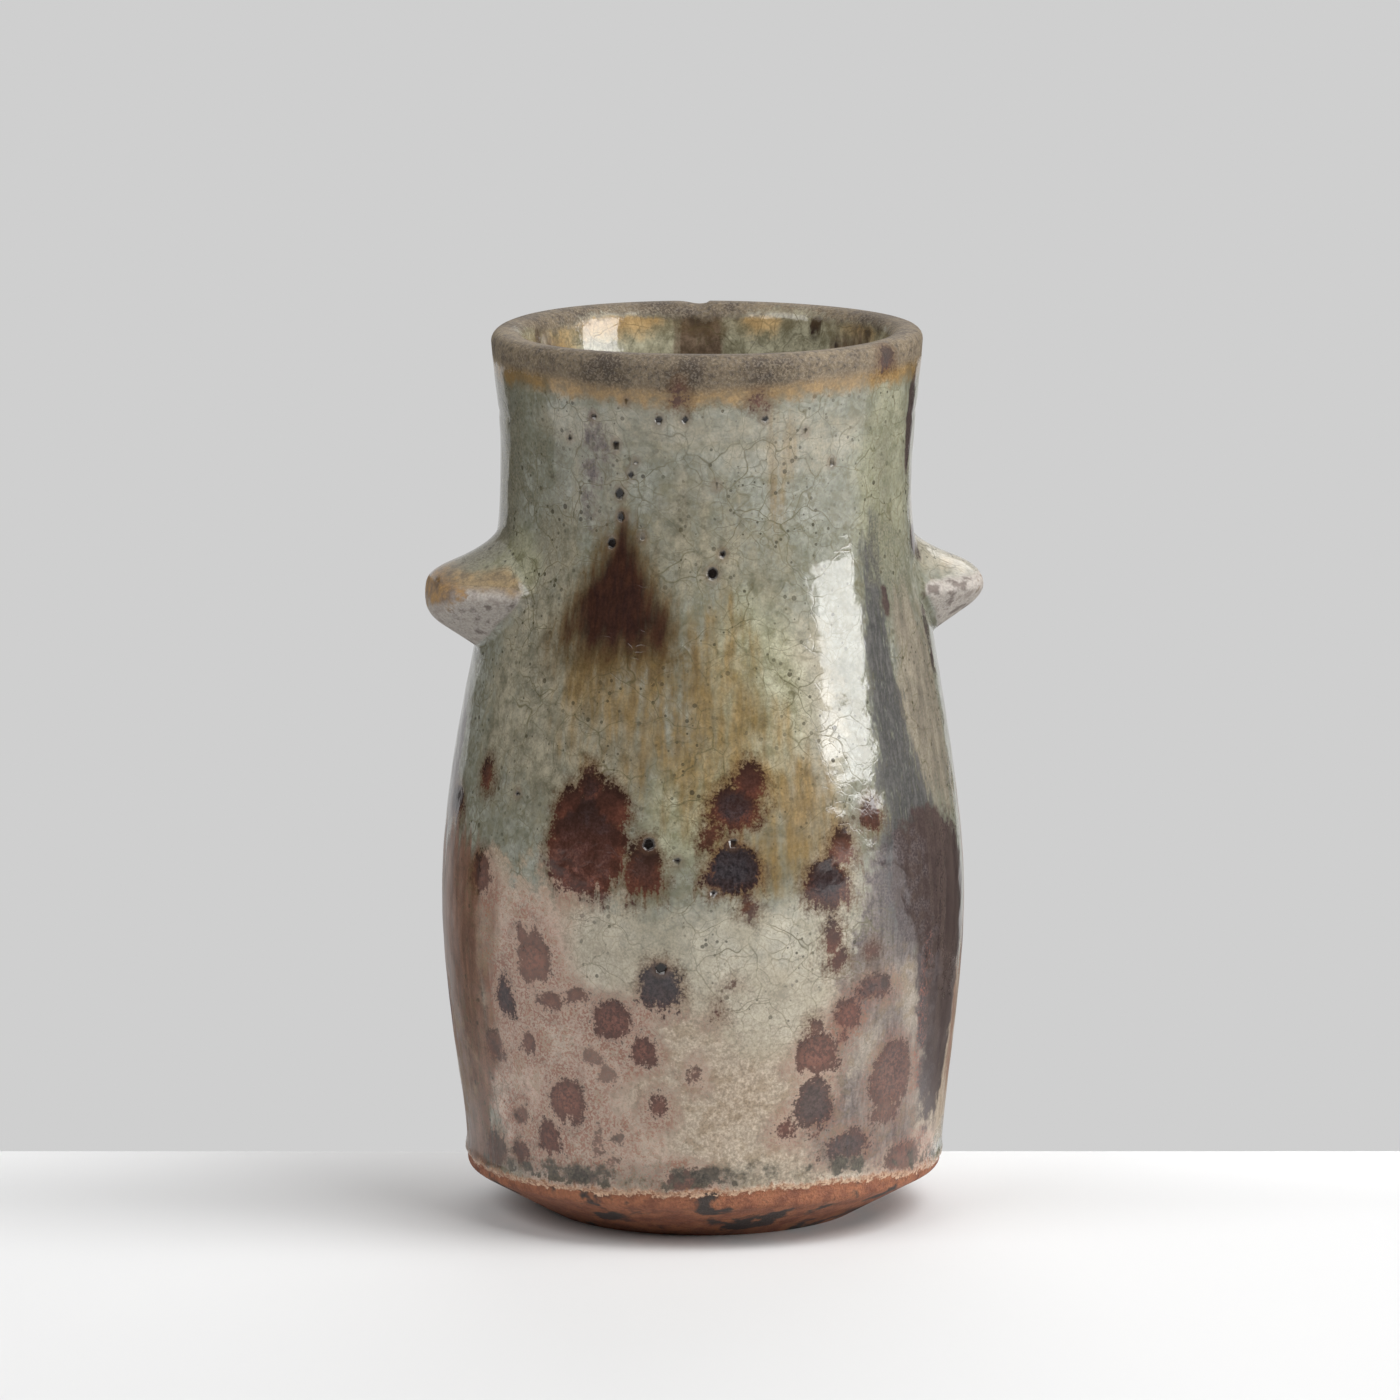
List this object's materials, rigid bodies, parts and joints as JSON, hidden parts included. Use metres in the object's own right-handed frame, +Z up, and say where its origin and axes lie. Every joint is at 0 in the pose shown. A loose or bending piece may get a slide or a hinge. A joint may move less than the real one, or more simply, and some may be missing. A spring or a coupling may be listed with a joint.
{
  "type": "stoneware vase",
  "caption": "Thrown stoneware vase with a wide straight neck, a gently swelling body, a bevelled unglazed foot and two pinched lugs at the shoulder.",
  "frame": {"origin": "centre of the foot, on the surface that the vase stands on", "axes": "+Z up along the throwing axis, -X and +X through the two lugs, -Y towards the side seen in the picture"},
  "size_m": [0.0933, 0.0874, 0.1485],
  "materials": {
    "glazed_stoneware": "gloss"
  },
  "bodies": {
    "root": {"vase": "glazed_stoneware"}
  },
  "joints": []
}
